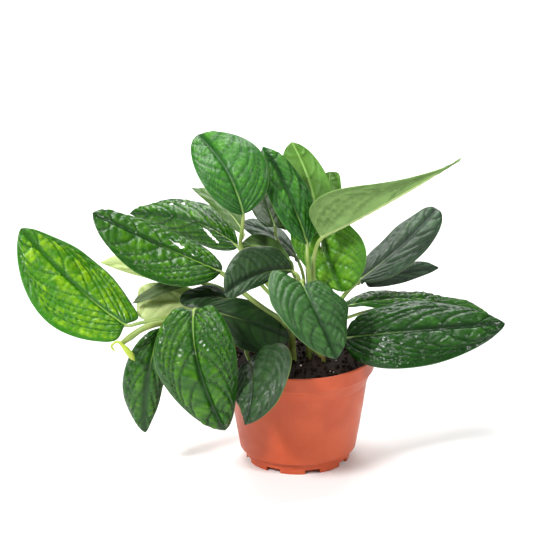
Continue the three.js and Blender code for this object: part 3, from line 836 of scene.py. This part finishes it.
# ---- Dark glossy blades --------------------------------------------------------------------------
# The full-grown leaves: deep green with a wet shine, strongly quilted, a pale line down the mid-rib
# near the stalk. Two of them carry the narrow slits that mature leaves of the kind open up.
deep_green = leaf_finish(
    "deep green leaf", blade=(0.012, 0.080, 0.001), bright=(0.105, 0.31, 0.001), groove=(0.002, 0.017, 0.001),
    rib=(0.22, 0.42, 0.05), margin=(0.06, 0.16, 0.025), below=(0.10, 0.20, 0.04), gloss=0.12)
grow_blade("front_left", deep_green, "dark_leaf", 11, ribs=4, cell=5.6, quilt=2.0, wave=0.5, lean=1.4)
grow_blade("low_left", deep_green, "dark_leaf", 12, ribs=4, cell=5.0, quilt=1.7, wave=0.6, lean=1.3)
grow_blade("upper_left", deep_green, "dark_leaf", 13, ribs=5, cell=7, quilt=1.3, wave=0.6, slits=[
    (0.36, 0.30, 7.5, 2.3, 12), (0.23, 0.17, 2.4, 0.8, 15)])
grow_blade("upper_left_rear", deep_green, "dark_leaf", 14, ribs=5, cell=5, quilt=1.2, wave=0.6, slits=[
    (0.27, -0.35, 11, 2.1, 22), (0.62, 0.62, 3.2, 1.5, 10), (0.5, 0.66, 4.2, 1.4, 10),
    (0.4, 0.66, 2.2, 1.2, 10)])
grow_blade("right_rear", deep_green, "dark_leaf", 43, ribs=5, cell=7, quilt=0.9, wave=1.6)
grow_blade("right_rear_low", deep_green, "dark_leaf", 44, ribs=5, cell=8, quilt=0.8, wave=1.2)

# ---- Oldest blade --------------------------------------------------------------------------------
# The largest leaf, low on the right: almost black-green and wet-looking, with long bulges between side
# veins that run nearly along its edge.
wet_green = leaf_finish(
    "oldest leaf", blade=(0.006, 0.045, 0.002), bright=(0.025, 0.13, 0.003), groove=(0.001, 0.012, 0.001),
    rib=(0.12, 0.27, 0.04), margin=(0.03, 0.10, 0.015), below=(0.10, 0.20, 0.04), gloss=0.1)
grow_blade("right_low", wet_green, "dark_leaf", 15, ribs=4, cell=13, quilt=1.3, wave=0.8, lean=1.5)

# ---- Mid-green blades ----------------------------------------------------------------------------
# Younger full-size leaves at the top of the plant: mid green with a softer shine, one of them closely
# quilted and one with a few long folds.
mid_green = leaf_finish(
    "mid green leaf", blade=(0.020, 0.125, 0.008), bright=(0.10, 0.34, 0.015), groove=(0.006, 0.045, 0.006),
    rib=(0.26, 0.46, 0.10), margin=(0.14, 0.27, 0.08), below=(0.14, 0.25, 0.05), gloss=0.3)
grow_blade("top", mid_green, "mid_leaf", 21, ribs=6, cell=4.6, quilt=1.1, wave=0.4)
grow_blade("centre_folded", mid_green, "dark_leaf", 16, ribs=3, cell=7, quilt=1.4, wave=0.8, lean=1.5)

# ---- Dim inner blades ----------------------------------------------------------------------------
# Leaves inside the crown, shaded by the ones above: their dark olive is painted shade; satin, with a light
# mid-rib.
dim_green = leaf_finish(
    "dim olive leaf", blade=(0.024, 0.068, 0.006), bright=(0.09, 0.16, 0.010), groove=(0.008, 0.03, 0.003),
    rib=(0.24, 0.40, 0.08), margin=(0.08, 0.15, 0.03), below=(0.05, 0.11, 0.015), gloss=0.38)
grow_blade("centre_left_rear", dim_green, "mid_leaf", 24, ribs=3, cell=7, quilt=0.5, wave=0.8)
grow_blade("behind_top", dim_green, "mid_leaf", 25, ribs=4, cell=6, quilt=0.6, wave=0.4)

# ---- Heart-shaped blade --------------------------------------------------------------------------
# The broad leaf in the middle: cool green, satin, with sunken side veins, a light edge and two round
# lobes beside its stalk.
heart_green = leaf_finish(
    "heart leaf", blade=(0.020, 0.085, 0.012), bright=(0.07, 0.21, 0.035), groove=(0.005, 0.028, 0.005),
    rib=(0.10, 0.24, 0.05), margin=(0.14, 0.27, 0.08), below=(0.14, 0.25, 0.05), gloss=0.36)
grow_blade("centre_heart", heart_green, "mid_leaf", 22, ribs=4, cell=6, quilt=1.2, wave=1.2, lean=1.2)

# ---- Yellow-green blades -------------------------------------------------------------------------
# Young thin leaves at the back: yellow-green on both faces and finely quilted. One has opened a slit
# beside its mid-rib.
lit_green = leaf_finish(
    "yellow green leaf", blade=(0.065, 0.22, 0.008), bright=(0.20, 0.42, 0.015), groove=(0.02, 0.09, 0.006),
    rib=(0.26, 0.46, 0.10), margin=(0.16, 0.32, 0.05), below=(0.10, 0.235, 0.03), gloss=0.26)
grow_blade("centre_right", lit_green, "mid_leaf", 23, ribs=5, cell=4.6, quilt=1.2, wave=0.5, slits=[
    (0.45, 0.10, 6.5, 1.0, 8)])
grow_blade("centre_rear", lit_green, "light_leaf", 62, ribs=4, cell=6, quilt=0.9, wave=0.6, lean=1.3)
grow_blade("rear_blunt", lit_green, "light_leaf", 63, ribs=3, cell=6, quilt=0.7, wave=0.5)

# ---- Bright young blade --------------------------------------------------------------------------
# The newest full leaf, at the end of the vine: lit through, its bulges between the veins painted yellow-green
# as light shining through them, and a smooth darker band along the edge.
bright_green = leaf_finish(
    "bright green leaf", blade=(0.035, 0.175, 0.002), bright=(0.26, 0.46, 0.001), groove=(0.008, 0.06, 0.002),
    rib=(0.30, 0.50, 0.08), margin=(0.05, 0.19, 0.03), below=(0.2, 0.36, 0.05), painted_light_share=1.0, gloss=0.25,
    glow=0.35)
grow_blade("far_left", bright_green, "fresh_leaf", 31, ribs=4, cell=5.5, quilt=1.0, wave=0.5, lean=1.5)

# ---- Grey-green blades ---------------------------------------------------------------------------
# Leaves behind and to the right: satin, with dark vein lines and long low folds; their grey-green is a
# painted sheen of the white surroundings over dark green.
grey_green = leaf_finish(
    "grey green leaf", blade=(0.03, 0.068, 0.030), bright=(0.055, 0.12, 0.045), groove=(0.008, 0.022, 0.010),
    rib=(0.20, 0.30, 0.10), margin=(0.16, 0.22, 0.08), below=(0.12, 0.17, 0.08), gloss=0.38)
grow_blade("right_upper", grey_green, "dull_leaf", 41, ribs=4, cell=14, quilt=0.8, wave=0.6, lean=1.3)
grow_blade("right_under", grey_green, "dull_leaf", 42, ribs=4, cell=14, quilt=0.7, wave=0.5, lean=1.3)
grow_blade("grey_rear", grey_green, "dull_leaf", 50, ribs=4, cell=8, quilt=0.5, wave=0.8)

# ---- Dark shaded blades --------------------------------------------------------------------------
# Leaves low in the middle, over the soil and the pot's lip: their dull dark green is painted shade, with a
# light edge.
shaded_green = leaf_finish(
    "shaded leaf", blade=(0.016, 0.048, 0.012), bright=(0.035, 0.095, 0.018), groove=(0.006, 0.02, 0.006),
    rib=(0.16, 0.24, 0.06), margin=(0.17, 0.23, 0.06), below=(0.11, 0.16, 0.06), gloss=0.36)
grow_blade("centre_left", shaded_green, "dull_leaf", 45, ribs=5, cell=6, quilt=0.9, wave=1.2)
grow_blade("under_centre", shaded_green, "dull_leaf", 46, ribs=5, cell=9, quilt=0.4, wave=1.2)
grow_blade("low_centre", shaded_green, "dull_leaf", 47, ribs=4, cell=7, quilt=1.2, wave=0.8, lean=1.2)
grow_blade("shaded", shaded_green, "dull_leaf", 48, ribs=4, cell=7, quilt=0.6, wave=0.8)

# ---- Light blades seen from below ----------------------------------------------------------------
# Leaves that turn over and show their matt light-green underside with its cream mid-rib.
light_green = leaf_finish(
    "light green leaf", blade=(0.065, 0.14, 0.025), bright=(0.16, 0.30, 0.06), groove=(0.04, 0.09, 0.015),
    rib=(0.50, 0.62, 0.25), margin=(0.25, 0.36, 0.12), below=(0.18, 0.30, 0.085), gloss=0.34)
grow_blade("right_long", light_green, "light_leaf", 61, ribs=3, cell=14, quilt=1.0, wave=0.2, lean=1.7)
grow_blade("top_side", light_green, "light_leaf", 64, ribs=4, cell=8, quilt=0.5, wave=1.2)

# ---- Olive blade ---------------------------------------------------------------------------------
# A narrow leaf on the left that hangs nearly edge on: light olive-grey and matt.
olive_green = leaf_finish(
    "olive leaf", blade=(0.11, 0.17, 0.06), bright=(0.16, 0.22, 0.09), groove=(0.06, 0.10, 0.03),
    rib=(0.30, 0.36, 0.18), margin=(0.22, 0.28, 0.12), below=(0.15, 0.21, 0.09), gloss=0.38)
grow_blade("edge_on", olive_green, "dull_leaf", 49, ribs=4, cell=8, quilt=0.4, wave=0.8)

# ---- Cream-green blades --------------------------------------------------------------------------
# Two leaves that never greened up: matt, cream to pale green and lightly quilted.
cream_green = leaf_finish(
    "cream leaf", blade=(0.46, 0.53, 0.22), bright=(0.62, 0.66, 0.36), groove=(0.33, 0.42, 0.13),
    rib=(0.66, 0.70, 0.40), margin=(0.50, 0.56, 0.26), below=(0.52, 0.58, 0.28), gloss=0.45, glow=0.3)
grow_blade("pale_upper", cream_green, "pale_leaf", 71, ribs=4, cell=8, quilt=0.6, wave=1.0)
grow_blade("pale_lower", cream_green, "pale_leaf", 72, ribs=4, cell=8, quilt=0.6, wave=1.0)

# ---- Floor, light and camera ---------------------------------------------------------------------
# A plain pale studio floor, soft boxes overhead, behind and from both sides, and a long lens a
# little above the plant.
bpy.ops.mesh.primitive_plane_add(size=40, location=(0, 0, 0))
floor = bpy.context.object
floor.name = "studio_floor"
paper, _, paper_skin = new_material("studio paper")
paper_skin.inputs["Base Color"].default_value = (0.9, 0.9, 0.9, 1)
paper_skin.inputs["Roughness"].default_value = 0.9
floor.data.materials.append(paper)
room = bpy.data.worlds.new("studio")
bpy.context.scene.world = room
room.use_nodes = True
room.node_tree.nodes["Background"].inputs["Color"].default_value = (1, 1, 1, 1)
room.node_tree.nodes["Background"].inputs["Strength"].default_value = 0.3


def soft_box(name, place, size, power, aim=(0, 0, 0.14)):
    """A square area light aimed at the middle of the plant unless told otherwise."""
    lamp = bpy.data.lights.new(name, "AREA")
    lamp.energy = power
    lamp.size = size
    box = bpy.data.objects.new(name, lamp)
    bpy.context.collection.objects.link(box)
    box.location = place
    box.rotation_euler = (Vector(aim) - Vector(place)).to_track_quat("-Z", "Y").to_euler()


soft_box("overhead box", (-0.2, 0.5, 1.7), 0.8, 27)
soft_box("left box", (-1.2, -1.1, 1.4), 0.35, 44)
soft_box("right box", (1.3, -1.0, 1.3), 0.4, 13)
soft_box("backdrop box", (0, 1.9, 1.3), 1.2, 27, aim=(0, 1.8, 0))
lens = bpy.data.cameras.new("long lens")
lens.lens = 207.35
lens.sensor_width = 36
lens.clip_end = 100
camera = bpy.data.objects.new("camera", lens)
bpy.context.collection.objects.link(camera)
CAMERA_TARGET = Vector((-25.03, 0, 159.28)) * MM
CAMERA_DISTANCE = 2.4
CAMERA_ELEVATION = math.radians(19.4)
camera.location = CAMERA_TARGET + CAMERA_DISTANCE * Vector(
    (0, -math.cos(CAMERA_ELEVATION), math.sin(CAMERA_ELEVATION)))
camera.rotation_euler = (math.pi / 2 - CAMERA_ELEVATION, 0, 0)
bpy.context.scene.camera = camera
bpy.context.scene.view_settings.view_transform = "Standard"
